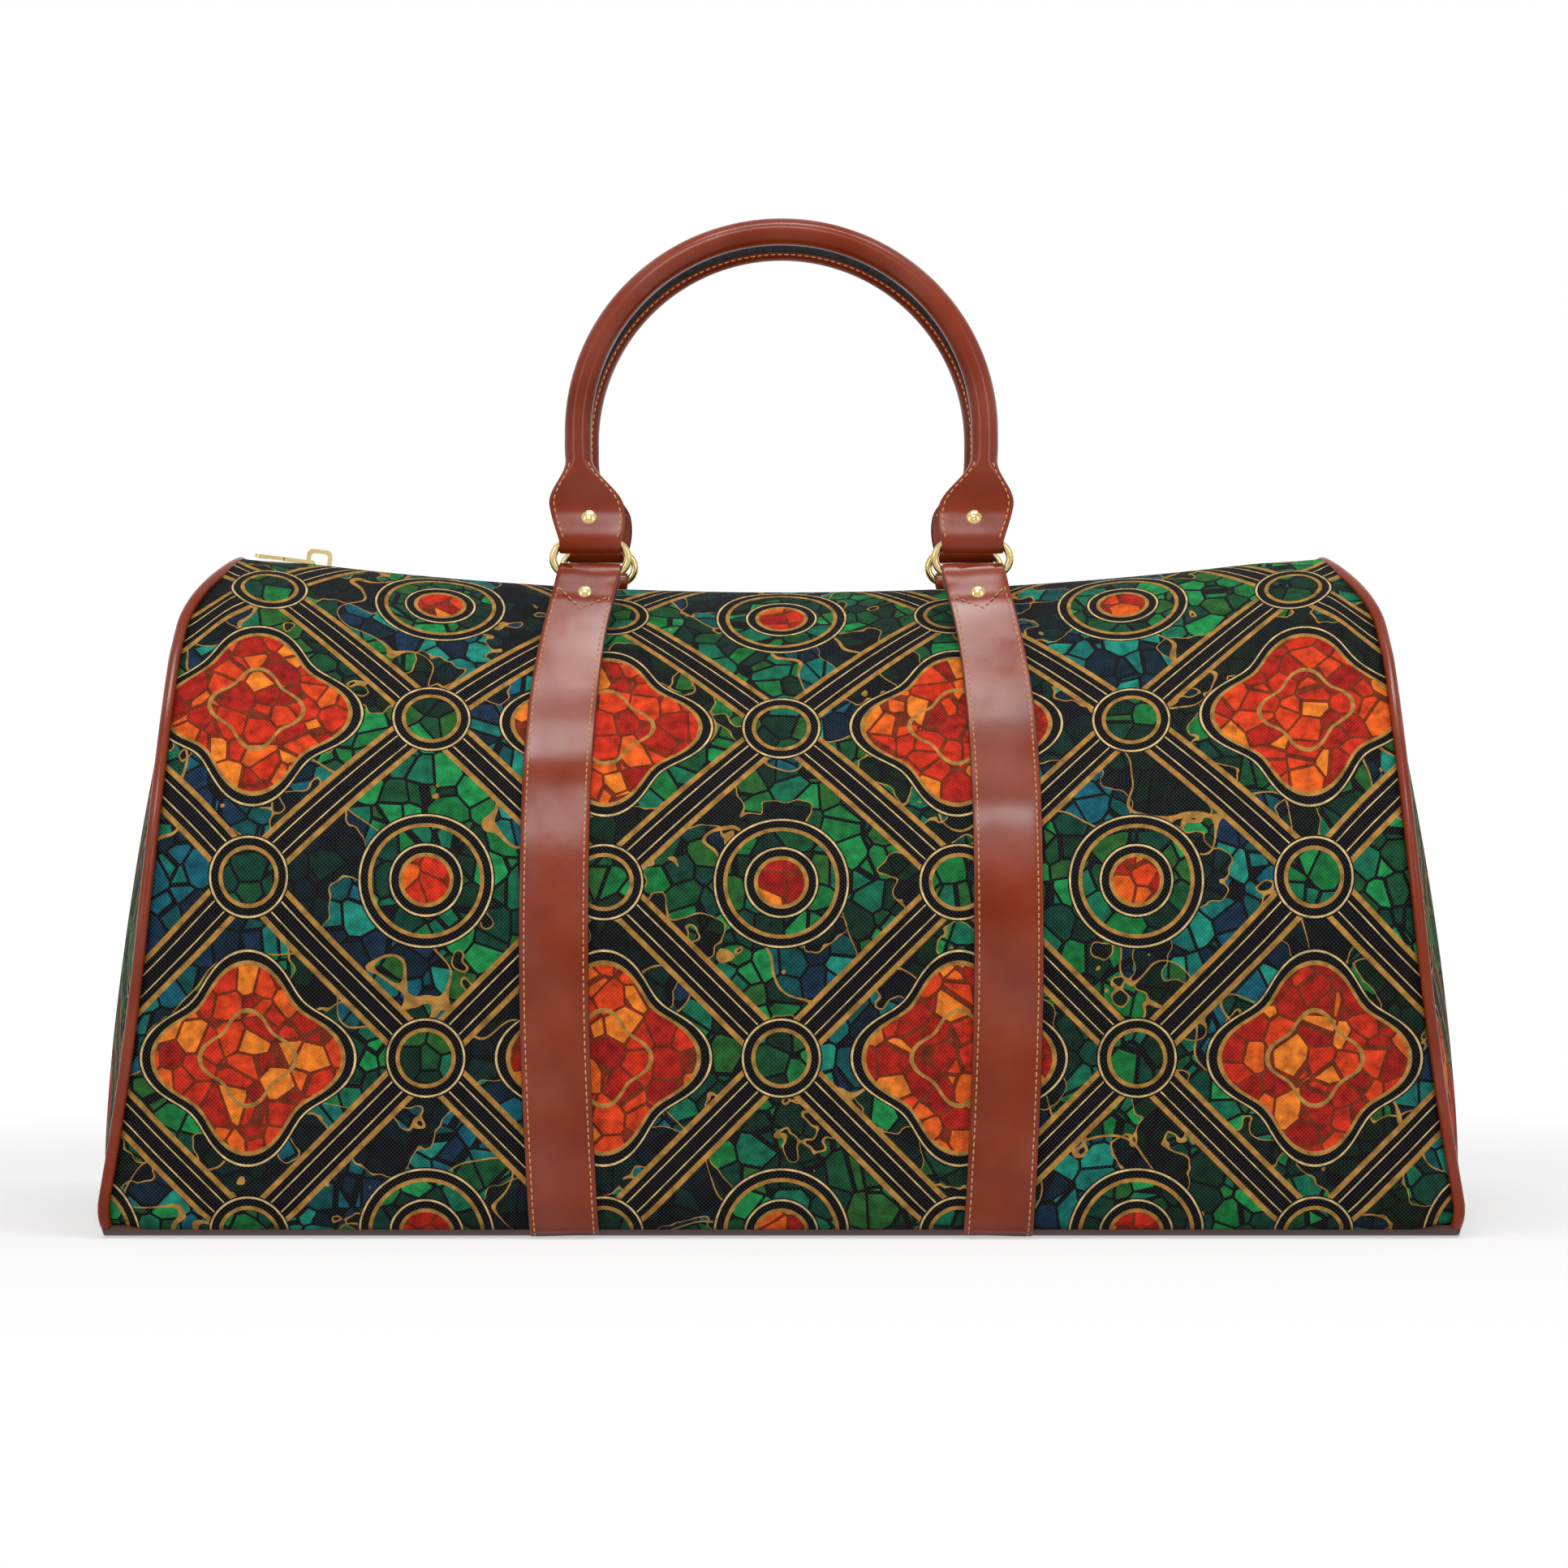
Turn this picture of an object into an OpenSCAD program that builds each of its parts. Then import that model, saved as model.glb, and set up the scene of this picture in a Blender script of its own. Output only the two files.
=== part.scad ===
/* [Bag body] */
// Length of the bag along its bottom, over the end seams
body_l = 514; // [460:1:580]
// Depth of the bag from front to back
body_d = 230; // [200:1:270]
// Height of the top ridge at its two ends
body_h = 260; // [236:1:300]
// How far the zip line hangs below its ends in the middle
zip_sag = 15; // [6:0.5:22]
// Radius of the turned front and back bottom edge
foot_r = 15; // [11:0.5:20]
// Height at which the upright walls start to close over
shoulder_z = 110; // [80:1:130]
// Fullness of the closing curve: 2 is an ellipse, less is flatter
shoulder_n = 1.7; // [1.5:0.05:2]
// How far each end seam leans inwards over the bag's height
end_lean = 29; // [10:1:45]
// How far the top corners of the end seams are drawn in
corner_drop = 14; // [4:0.5:20]
// Height over which the top corners are drawn in
corner_h = 28; // [20:1:45]
// Outward bulge of each end panel
end_bulge = 19; // [6:0.5:24]
// Thickness of the printed canvas with its lining
panel_t = 2; // [1.2:0.1:3]

/* [Piping and bottom] */
// Diameter of the piping round the end panels
pipe_d = 4.5; // [3:0.1:6]
// Height to which the bottom panel turns up at the front and back
seam_h = 3; // [2:0.25:6]
// Thickness of the bottom panel
bottom_t = 2; // [1.2:0.1:3]
// Thickness of the base board
board_t = 3; // [2:0.25:5]
// Room between the base board and the walls round it
board_room = 6; // [3:0.5:12]

/* [Zip] */
// Width of the zip's window between the front and back panels
zip_window = 16; // [14:0.5:24]
// Width of tape that each panel covers
tape_lap = 4; // [2.5:0.25:7]
// Thickness of the zip tape
tape_t = 0.8; // [0.6:0.1:1.2]
// Width of the closed chain of teeth
chain_w = 6; // [5:0.25:7.5]
// Height of the chain of teeth
chain_h = 2.8; // [2.2:0.1:3.6]
// Width of the rib that carries one row of teeth
rib_w = 1.1; // [0.8:0.1:1.5]
// Spacing of the teeth
tooth_pitch = 4; // [3:0.25:6]
// Width of one tooth along the zip
tooth_w = 2.4; // [1.5:0.1:2.8]
// Length of the end stops along the zip
stop_l = 5; // [3:0.5:8]
// Distance of the closed slider from the end of the zip
slider_park = 25.5; // [24:0.5:60]
// Length of the slider
slider_l = 15; // [12:0.5:18]
// Width of the slider
slider_w = 11; // [9.5:0.25:12.5]
// Thickness of the slider's plates
plate_t = 1.6; // [1.2:0.1:2.2]
// Thickness of the post between the slider's plates
post_t = 1; // [0.7:0.1:1.3]
// Height of the slider's bridge
bridge_h = 8; // [6:0.25:9]
// Width of the slider's bridge
bridge_w = 3; // [2.4:0.1:4]
// Thickness of the bridge's metal
bridge_t = 1.6; // [1.2:0.1:2]
// Length of the zip pull from its pin
pull_l = 23; // [19:0.5:24]
// Width of the zip pull at its free end
pull_w = 9; // [8:0.25:11]
// Thickness of the zip pull
pull_t = 1.4; // [1:0.1:1.8]

/* [Straps] */
// Width of the straps
strap_w = 26; // [22:0.5:30]
// Thickness of the straps
strap_t = 2.4; // [1.6:0.1:3.2]
// Distance of the straps from the bag's middle at the bottom
strap_foot_x = 81; // [65:1:110]
// Distance of the straps from the bag's middle at the shoulder
strap_mid_x = 85; // [65:1:110]
// Depth under the ring at which a strap leaves the panel
lift_drop = 61.5; // [52:0.5:85]
// Length of the strap's end that is folded back behind it
fold_l = 26; // [20:0.5:34]

/* [Rings] */
// Distance of the rings from the bag's middle along it
ring_x = 74; // [60:1:95]
// Distance of the rings from the bag's middle across it
ring_y = 44; // [38:0.5:52]
// Height of the rings' lower bars over the ridge
ring_rise = 4.7; // [-3:0.1:14]
// Outer width of a ring
ring_w = 32; // [29:0.5:36]
// Outer height of a ring
ring_h = 15; // [14:0.25:18]
// Diameter of the ring's wire
ring_wire = 3; // [2.4:0.1:3.4]
// Width of the leather loops on a ring
loop_w = 24; // [20:0.5:26]
// Wall of the leather loops on a ring
loop_wall = 2.55; // [2.2:0.05:3]

/* [Handles] */
// Diameter of the rolled handle
grip_d = 10.5; // [9:0.25:13]
// Wall of the rolled leather
grip_wall = 1.6; // [1.2:0.1:2.2]
// Radius of the handle's bow, to the middle of the roll
bow_r = 79; // [72:0.5:92]
// Height of the bow's ends over the ring's upper bar
bow_z = 44; // [38:1:60]
// Inward lean of the handle, in degrees
handle_lean = 6.7; // [2:0.1:9]
// Width of a handle's tab at its shoulders
tab_w = 29; // [27:0.5:33]
// Height of the tab's shoulders over the ring's upper bar
tab_z = 20; // [17:0.5:24]
// Thickness of a tab
tab_t = 4; // [3:0.1:5]
// Distance of a rivet from the bar that its loop holds
rivet_z = 9; // [8:0.25:11]
// Diameter of the rivet heads
rivet_d = 7; // [5.5:0.25:8.5]
// Diameter of the rivet shanks
shank_d = 3; // [2:0.1:3.6]
// Height of the rivet heads
rivet_h = 1.5; // [1:0.1:2.2]

/* [Clearances] */
// Gap between sewn pieces
seam_gap = 0.15; // [0.1:0.05:0.3]
// Gap under pieces that lie on the panels
lay_gap = 0.3; // [0.2:0.05:0.5]
// Running clearance of the rings in their loops
ring_gap = 0.25; // [0.15:0.05:0.35]
// Running clearance of the slider on the zip
slider_gap = 0.3; // [0.2:0.05:0.4]
// Clearance of a core or a shank in the leather round it
snug_gap = 0.05; // [0.02:0.01:0.1]

/* [Hidden] */
$fn = 48;

canvas = "darkgreen";
leather = "sienna";
dark_leather = "saddlebrown";
gold = "palegoldenrod";
black = "dimgray";

// Rows and columns that a sewn panel is drawn with
foot_rows = 3;
wall_rows = 3;
shoulder_rows = 8;
panel_cols = 20;
end_cols = 8;
pipe_sides = 8;
cut_over = 1;

half_d = body_d / 2;
pipe_r = pipe_d / 2;
ridge_half = body_l / 2 - end_lean - corner_drop;
sag_r = (ridge_half * ridge_half + zip_sag * zip_sag) / (2 * zip_sag);
sag_axis_z = body_h - zip_sag + sag_r;

// Height of the top ridge over a place along the bag
function ridge_z(x) = sag_axis_z - sqrt(sag_r * sag_r - pow(min(abs(x), ridge_half), 2));

// Distance of the end seams from the bag's middle at a height
function edge_x(z) = body_l / 2 - end_lean * z / body_h
    - corner_drop * pow(max(0, z - body_h + corner_h) / corner_h, 2);

// Half of the bag's section as [distance from the middle plane, height].
// s runs from 0 to 1 round the bottom edge, to 2 up the wall and to 3 at the ridge,
// and depth is how far the point lies under the outer face.
function section(s, x, depth) =
    s < 1 ? [half_d - foot_r + (foot_r - depth) * sin(90 * s), foot_r - (foot_r - depth) * cos(90 * s)]
    : s < 2 ? [half_d - depth, foot_r + (s - 1) * (shoulder_z - foot_r)]
    : [(half_d - depth) * pow(max(0, cos(90 * (s - 2))), 2 / shoulder_n),
       shoulder_z + (ridge_z(x) - shoulder_z - depth) * pow(sin(90 * (s - 2)), 2 / shoulder_n)];

// Place on the section where it has closed to a distance from the middle plane
function closed_to(y) = 2 + acos(pow(y / half_d, shoulder_n / 2)) / 90;

// Place on the closing curve that lies at a height under the straps
function at_height(z) =
    2 + asin(pow((z - shoulder_z) / (ridge_z(strap_mid_x) - shoulder_z), shoulder_n / 2)) / 90;

// Distance of the end seam from the bag's middle at a place on the section
function seam_x(s) = edge_x(section(s, ridge_half, 0)[1]);

// Middle line of the piping at a place on the front half of the section
function pipe_point(s) = let (p = section(s, seam_x(s), pipe_r)) [seam_x(s), -p[0], p[1]];

// Room along the bag that the piping takes from the end of a panel
bend_step = 0.01;
function pipe_room(s) =
    let (way = pipe_point(min(s + bend_step, 3)) - pipe_point(max(s - bend_step, 0)), run = way / norm(way))
    (pipe_r + seam_gap) / sqrt(1 - run[0] * run[0]);

function steps(from, to, count) = [for (i = [0:count - 1]) from + (to - from) * i / count];

ring_z = ridge_z(ring_x) + ring_rise;
lift_z = ring_z - lift_drop;
seam_s = acos(1 - seam_h / foot_r) / 90;
lift_s = at_height(lift_z);
tape_half = zip_window / 2 + tape_lap;
tape_s = closed_to(tape_half);
window_s = closed_to(zip_window / 2);
// Places on the section at which every panel, strap and piping has a row
low_rows = concat(steps(seam_s, 1, foot_rows), steps(1, 2, wall_rows));
shoulder_places = steps(2, tape_s, shoulder_rows);
panel_places = concat(low_rows, shoulder_places, [tape_s, window_s]);
crown_places = [window_s, (window_s + 3) / 2];
seam_places = concat(steps(0, seam_s, 1), low_rows, shoulder_places, [tape_s], crown_places);

// A closed sheet between two grids of points, one row after the other,
// whose outer grid faces the viewer with rows upwards and columns to the right
module sheet(outer, inner) {
    rows = len(outer);
    cols = len(outer[0]);
    n = rows * cols;
    points = concat([for (row = outer) each row], [for (row = inner) each row]);
    walls = [for (i = [0:rows - 2], j = [0:cols - 2]) let (a = i * cols + j, d = a + cols)
        each [[a, d, d + 1], [a, d + 1, a + 1], [n + a, n + d + 1, n + d], [n + a, n + a + 1, n + d + 1]]];
    sides = [for (i = [0:rows - 2]) let (a = i * cols, d = a + cols, b = d - 1, e = b + cols)
        each [[a, n + a, n + d], [a, n + d, d], [b, e, n + e], [b, n + e, n + b]]];
    ends = [for (j = [0:cols - 2]) let (a = j, b = n - cols + j)
        each [[a, a + 1, n + a + 1], [a, n + a + 1, n + a], [b, n + b, n + b + 1], [b, n + b + 1, b + 1]]];
    polyhedron(points = points, faces = concat(walls, sides, ends), convexity = 4);
}

// A tube round a closed line of points
module closed_tube(line, r, sides) {
    n = len(line);
    rings = [for (i = [0:n - 1])
        let (way = line[(i + 1) % n] - line[(i + n - 1) % n], t = way / norm(way),
             across = [1, 0, 0] - t[0] * t, u = across / norm(across), v = cross(t, u))
        each [for (k = [0:sides - 1]) line[i] + r * (cos(360 * k / sides) * u + sin(360 * k / sides) * v)]];
    faces = [for (i = [0:n - 1], k = [0:sides - 1])
        let (a = i * sides + k, b = i * sides + (k + 1) % sides,
             c = ((i + 1) % n) * sides + k, d = ((i + 1) % n) * sides + (k + 1) % sides)
        each [[a, c, d], [a, d, b]]];
    polyhedron(points = rings, faces = faces, convexity = 6);
}

function panel_row(s, depth) =
    let (half = seam_x(s) - pipe_room(s))
    [for (j = [0:panel_cols]) let (x = half * (2 * j / panel_cols - 1), p = section(s, x, depth))
        [x, -p[0], p[1]]];

module front_panel() {
    color(canvas)
        sheet([for (s = panel_places) panel_row(s, 0)], [for (s = panel_places) panel_row(s, panel_t)]);
}

module back_panel() {
    color(canvas) mirror([0, 1, 0]) front_panel();
}

end_depth = 2 * pipe_r + seam_gap;
function bulge(v, z) = end_bulge * (1 - v * v) * 4 * (z / body_h) * (1 - z / body_h);
function end_row(s, back) =
    let (p = section(s, seam_x(s), end_depth))
    [for (j = [0:end_cols]) let (v = 2 * j / end_cols - 1)
        [seam_x(s) + bulge(v, p[1]) - back, v * p[0], p[1]]];

module end_panel_right() {
    color(canvas)
        sheet([for (s = seam_places) end_row(s, 0)], [for (s = seam_places) end_row(s, panel_t)]);
}

module end_panel_left() {
    color(canvas) mirror([1, 0, 0]) end_panel_right();
}

last_place = len(seam_places) - 1;
pipe_line = concat([for (s = seam_places) pipe_point(s)], [pipe_point(3)],
    [for (i = [0:last_place]) let (p = pipe_point(seam_places[last_place - i])) [p[0], -p[1], p[2]]]);

module piping_right() {
    color(leather) closed_tube(pipe_line, pipe_r, pipe_sides);
}

module piping_left() {
    color(leather) mirror([1, 0, 0]) piping_right();
}

// The bottom panel is one sheet with its front and back edges turned up to the seams
bottom_half = seam_x(0) - pipe_room(0);
turn_angle = 90 * seam_s - seam_gap / foot_r * 180 / PI;
turn_steps = 4;
function turn(r) = [for (i = [0:turn_steps]) let (a = turn_angle * i / turn_steps)
    [half_d - foot_r + r * sin(a), foot_r - r * cos(a)]];
function backwards(list) = [for (i = [1:len(list)]) list[len(list) - i]];
function flipped(list) = [for (p = list) [-p[0], p[1]]];

module bottom_panel() {
    outer = turn(foot_r);
    inner = turn(foot_r - bottom_t);
    color(dark_leather) rotate([90, 0, 90]) linear_extrude(2 * bottom_half, center = true)
        polygon(concat(backwards(flipped(outer)), outer, backwards(inner), flipped(inner)));
}

module rounded(l, w, r) {
    square([l - 2 * r, w], center = true);
    square([l, w - 2 * r], center = true);
    for (x = [-1, 1], y = [-1, 1]) translate([x * (l / 2 - r), y * (w / 2 - r)]) circle(r);
}

board_corner_r = 12;
module base_board() {
    color("tan") translate([0, 0, bottom_t]) linear_extrude(board_t)
        rounded(2 * (bottom_half - board_room), 2 * (half_d - foot_r), board_corner_r);
}

// The zip lies on the arc of the sagging ridge, under the edges of the panels
tape_drop = body_h - section(tape_s, ridge_half, panel_t)[1] + seam_gap;
tape_r = sag_r + tape_drop;
chain_r = tape_r + tape_t / 2;
zip_half = ridge_half - pipe_d;
slider_x = zip_half - slider_park;
zip_angle = asin(zip_half / chain_r);
row_half = zip_half - 2 * stop_l;
row_angle = asin(row_half / chain_r);
arc_fn = 1440;

// A strip along the zip, at distances from the middle plane and from the arc's centre
module zip_strip(y_near, y_far, r_near, r_far, angle) {
    translate([0, 0, sag_axis_z]) rotate([90, 0, 0]) rotate([0, 0, -90 - angle])
        rotate_extrude(angle = 2 * angle, $fn = arc_fn)
            translate([r_near, y_near]) square([r_far - r_near, y_far - y_near]);
}

// Puts its children on the chain, with their X along it and their Z out of the bag
module on_zip(x) {
    translate([0, 0, sag_axis_z]) rotate([0, -asin(x / chain_r), 0]) translate([0, 0, -chain_r]) children();
}

module zip_tape_front() {
    color(black) zip_strip(chain_w / 2, tape_half, tape_r, tape_r + tape_t, zip_angle);
}

module zip_tape_back() {
    color(black) mirror([0, 1, 0]) zip_tape_front();
}

// The teeth stop short of the middle plane, which leaves a way for the slider's post
tooth_tip = post_t / 2 + slider_gap;
tooth_root = 0.3;
tooth_count = floor((2 * row_half - tooth_w) / tooth_pitch);
module teeth_row(offset_x) {
    zip_strip(chain_w / 2 - rib_w, chain_w / 2, chain_r - chain_h / 2, chain_r + chain_h / 2, row_angle);
    tooth_h = chain_h - 2 * tooth_root;
    tooth_l = chain_w / 2 - rib_w - tooth_tip + tooth_root;
    for (i = [0:tooth_count - 1]) on_zip((i - (tooth_count - 1) / 2) * tooth_pitch + offset_x)
        translate([-tooth_w / 2, -tooth_tip - tooth_l, -tooth_h / 2]) cube([tooth_w, tooth_l, tooth_h]);
}

module zip_teeth_front() {
    color("gray") teeth_row(tooth_pitch / 4);
}

module zip_teeth_back() {
    color("gray") mirror([0, 1, 0]) teeth_row(-tooth_pitch / 4);
}

// At the closed end each row has a stop of its own, and one stop joins both rows at the other end
module zip_stops() {
    stop_w = chain_w / 2 - snug_gap;
    color(gold) {
        for (side = [-1, 1]) on_zip(-zip_half + stop_l)
            translate([0, side * (stop_w + tooth_tip) / 2, 0])
                cube([stop_l, stop_w - tooth_tip, chain_h], center = true);
        on_zip(zip_half - stop_l) cube([stop_l, 2 * stop_w, chain_h], center = true);
    }
}

slider_corner_r = 2.5;
flange_w = 1.3;
post_l = 4;
bridge_l = 10;
bridge_corner_r = 2.4;
plate_z = chain_h / 2 + slider_gap;
plate_top = plate_z + plate_t;
pin_r = 0.8;
pin_rise = 2.6;
pin_x = -bridge_l / 2 + bridge_t + pin_r + slider_gap;
pin_z = plate_top + pin_rise;

module slider_bridge() {
    rotate([90, 0, 0]) linear_extrude(bridge_w, center = true) difference() {
        rounded(bridge_l, 2 * bridge_h, bridge_corner_r);
        rounded(bridge_l - 2 * bridge_t, 2 * (bridge_h - bridge_t), bridge_corner_r - bridge_t / 2);
        translate([-bridge_l, -2 * bridge_l - plate_t / 2]) square(2 * bridge_l);
    }
}

module zip_slider() {
    flange_z = tape_t / 2 + slider_gap;
    color(gold) on_zip(-slider_x) {
        for (z = [plate_z, -plate_top]) translate([0, 0, z])
            linear_extrude(plate_t) rounded(slider_l, slider_w, slider_corner_r);
        for (side = [-1, 1]) translate([0, side * (slider_w - flange_w) / 2, (flange_z + plate_top) / 2])
            cube([slider_l - 2 * slider_corner_r, flange_w, plate_top - flange_z], center = true);
        translate([post_l / 2 - slider_l / 2 + plate_t, 0, 0])
            cube([post_l, post_t, 2 * plate_top], center = true);
        translate([0, 0, plate_top]) slider_bridge();
    }
}

// The pull's two arms straddle the bridge, and a pin under the bridge joins them
arm_w = 1.6;
arm_l = 10.8;
pull_corner_r = 2;
hole_d = 4;
module zip_pull() {
    arm_y = bridge_w / 2 + slider_gap + arm_w / 2;
    plate_l = pull_l - arm_l;
    color(gold) on_zip(-slider_x) translate([pin_x, 0, pin_z]) {
        rotate([90, 0, 0]) cylinder(r = pin_r, h = 2 * arm_y + arm_w, center = true);
        for (side = [-1, 1]) translate([-arm_l / 2 - pull_corner_r / 2, side * arm_y, 0])
            cube([arm_l + pull_corner_r, arm_w, pull_t], center = true);
        translate([-arm_l - plate_l / 2, 0, -pull_t / 2]) linear_extrude(pull_t) difference() {
            rounded(plate_l, pull_w, pull_corner_r);
            translate([-plate_l / 4, 0]) circle(d = hole_d);
        }
    }
}

// Distance of a strap's middle from the bag's middle at a height
strap_n = 4;
function strap_x(z) = z < shoulder_z
    ? strap_foot_x + (strap_mid_x - strap_foot_x) * sin(90 * z / shoulder_z)
    : strap_mid_x + (ring_x - strap_mid_x) * pow((z - shoulder_z) / (ring_z - shoulder_z), strap_n);

// Over the lift the strap runs straight to the ring's lower bar
bar = [ring_y, ring_z];
lift = section(lift_s, strap_x(lift_z), -lay_gap - strap_t / 2);
free_l = norm(bar - lift);
strap_way = (bar - lift) / free_l;
strap_out = [strap_way[1], -strap_way[0]];
strap_tilt = atan2(strap_out[0], strap_out[1]);
fold_step = 0.5;

function strap_pair(p, z, half) = [for (side = [-1, 1]) [strap_x(z) + side * half, -p[0], p[1]]];
function sewn_row(s, depth) =
    [for (side = [-1, 1]) let (x = strap_x(section(s, strap_mid_x, 0)[1]) + side * strap_w / 2,
        p = section(s, x, depth)) [x, -p[0], p[1]]];
function free_row(to_bar, out) =
    let (p = bar - to_bar * strap_way + out * strap_out,
         half = strap_w / 2 + (loop_w - strap_w) / 2 * (1 - to_bar / free_l))
    strap_pair(p, ring_z - to_bar * strap_way[1], half);

sewn_places = concat([for (s = panel_places) if (s < lift_s) s], [lift_s]);

// A hole for the ring's bar, opening towards both ends to clear the ring's bends
module bar_hole() {
    hole_r = ring_wire / 2 + ring_gap;
    straight = ring_w / 2 - ring_wire / 2 - bend_r - ring_gap;
    spread = loop_w / 2 - straight + cut_over;
    bend_over = min(spread, bend_r);
    mouth_r = hole_r + bend_r - sqrt(bend_r * bend_r - bend_over * bend_over);
    rotate([0, 90, 0]) {
        cylinder(r = hole_r, h = loop_w + 2 * cut_over, center = true);
        translate([0, 0, straight]) cylinder(r1 = hole_r, r2 = mouth_r, h = spread);
        mirror([0, 0, 1]) translate([0, 0, straight]) cylinder(r1 = hole_r, r2 = mouth_r, h = spread);
    }
}

module loop_barrel() {
    rotate([0, 90, 0]) cylinder(r = ring_wire / 2 + ring_gap + loop_wall, h = loop_w, center = true);
}

// Puts its children on a strap's outer face by its rivet, with their Z out of the face
module on_strap_rivet() {
    p = bar - rivet_z * strap_way + strap_t / 2 * strap_out;
    translate([strap_x(p[1]), -p[0], p[1]]) rotate([strap_tilt, 0, 0]) children();
}

module strap() {
    inner_out = -strap_t / 2;
    color(leather) difference() {
        union() {
            sheet(
                concat([for (s = sewn_places) sewn_row(s, -lay_gap - strap_t)],
                    [for (to_bar = [fold_l, fold_l - fold_step, 0]) free_row(to_bar, strap_t / 2)]),
                concat([for (s = sewn_places) sewn_row(s, -lay_gap)], [free_row(fold_l, inner_out)],
                    [for (to_bar = [fold_l - fold_step, 0]) free_row(to_bar, inner_out - strap_t)]));
            translate([ring_x, -ring_y, ring_z]) loop_barrel();
        }
        translate([ring_x, -ring_y, ring_z]) bar_hole();
        on_strap_rivet() cylinder(d = shank_d + 2 * snug_gap, h = 8 * strap_t, center = true);
    }
}

module strap_front_right() {
    strap();
}

module strap_front_left() {
    mirror([1, 0, 0]) strap();
}

module strap_back_right() {
    mirror([0, 1, 0]) strap();
}

module strap_back_left() {
    mirror([1, 0, 0]) mirror([0, 1, 0]) strap();
}

// A rivet with two low domed heads, whose outer head sits on the plane z = 0
module rivet(grip) {
    dome_r = (rivet_d * rivet_d / 4 + rivet_h * rivet_h) / (2 * rivet_h);
    color(gold) {
        translate([0, 0, -grip - rivet_h / 2]) cylinder(d = shank_d, h = grip + rivet_h);
        for (top = [true, false]) translate([0, 0, top ? snug_gap : -grip - snug_gap])
            mirror([0, 0, top ? 0 : 1]) intersection() {
                translate([0, 0, rivet_h - dome_r]) sphere(dome_r);
                cylinder(d = rivet_d, h = rivet_h);
            }
    }
}

module strap_rivets_front() {
    for (side = [0, 1]) mirror([side, 0, 0]) on_strap_rivet() rivet(2 * strap_t);
}

module strap_rivets_back() {
    mirror([0, 1, 0]) strap_rivets_front();
}

// An oval ring of round wire, standing on its lower bar
bend_r = (ring_h - ring_wire) / 2;
ring_straight = ring_w / 2 - ring_wire / 2 - bend_r;
upper_bar_z = ring_z + 2 * bend_r;

module ring() {
    color(gold) translate([ring_x, -ring_y, ring_z + bend_r]) rotate([90, 0, 0]) {
        for (side = [0, 1]) mirror([side, 0, 0]) translate([ring_straight, 0, 0]) rotate([0, 0, -90])
            rotate_extrude(angle = 180) translate([bend_r, 0]) circle(d = ring_wire);
        for (side = [-1, 1]) translate([0, side * bend_r, 0]) rotate([0, 90, 0])
            cylinder(d = ring_wire, h = 2 * ring_straight, center = true);
    }
}

module ring_front_right() {
    ring();
}

module ring_front_left() {
    mirror([1, 0, 0]) ring();
}

module ring_back_right() {
    mirror([0, 1, 0]) ring();
}

module ring_back_left() {
    mirror([1, 0, 0]) mirror([0, 1, 0]) ring();
}

// The handle is drawn upright over the ring's upper bar and then leant inwards
grip_r = grip_d / 2;
core_r = grip_r - grip_wall;
neck_h = bow_z - tab_z - grip_r;
neck_z = tab_z + neck_h;
tab_steps = 12;

module on_upper_bar() {
    translate([0, -ring_y, upper_bar_z]) rotate([-handle_lean, 0, 0]) children();
}

function ease(f) = (1 - cos(180 * f)) / 2;
function tab_x(z) = ring_x + (bow_r - ring_x) * ease(min(1, max(0, z / neck_z)));
function tab_half(z) = z < tab_z ? loop_w / 2 + (tab_w - loop_w) / 2 * sin(90 * max(0, z) / tab_z)
    : grip_r + (tab_w / 2 - grip_r) * (1 - ease((z - tab_z) / neck_h));
tab_places = [for (i = [0:tab_steps]) neck_z * i / tab_steps];

module tab_outline() {
    polygon(concat([for (z = tab_places) [tab_x(z) + tab_half(z), z]],
        backwards([for (z = tab_places) [tab_x(z) - tab_half(z), z]])));
}

// The roll of a handle from one leg over the bow to the other
module roll(r, leg_end) {
    translate([0, 0, bow_z]) rotate([90, 0, 0]) rotate_extrude(angle = 180) translate([bow_r, 0]) circle(r);
    for (side = [-1, 1]) translate([side * bow_r, 0, leg_end]) cylinder(r = r, h = bow_z - leg_end);
}

module handle_tab() {
    difference() {
        union() {
            rotate([90, 0, 0]) linear_extrude(tab_t, center = true) tab_outline();
            translate([bow_r, 0, tab_z]) cylinder(r1 = tab_t / 2, r2 = grip_r, h = neck_h);
            translate([ring_x, 0, 0]) loop_barrel();
        }
        translate([ring_x, 0, 0]) bar_hole();
        translate([tab_x(rivet_z), 0, rivet_z]) rotate([90, 0, 0])
            cylinder(d = shank_d + 2 * snug_gap, h = 2 * grip_d, center = true);
    }
}

module handle_front() {
    color(leather) on_upper_bar() {
        difference() {
            roll(grip_r, neck_z);
            roll(core_r, neck_z);
        }
        for (side = [0, 1]) mirror([side, 0, 0]) handle_tab();
    }
}

module handle_back() {
    mirror([0, 1, 0]) handle_front();
}

module handle_core_front() {
    color(black) on_upper_bar() roll(core_r - snug_gap, neck_z + snug_gap);
}

module handle_core_back() {
    mirror([0, 1, 0]) handle_core_front();
}

module handle_rivets_front() {
    on_upper_bar() for (side = [0, 1]) mirror([side, 0, 0])
        translate([tab_x(rivet_z), -tab_t / 2, rivet_z]) rotate([90, 0, 0]) rivet(tab_t);
}

module handle_rivets_back() {
    mirror([0, 1, 0]) handle_rivets_front();
}

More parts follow.
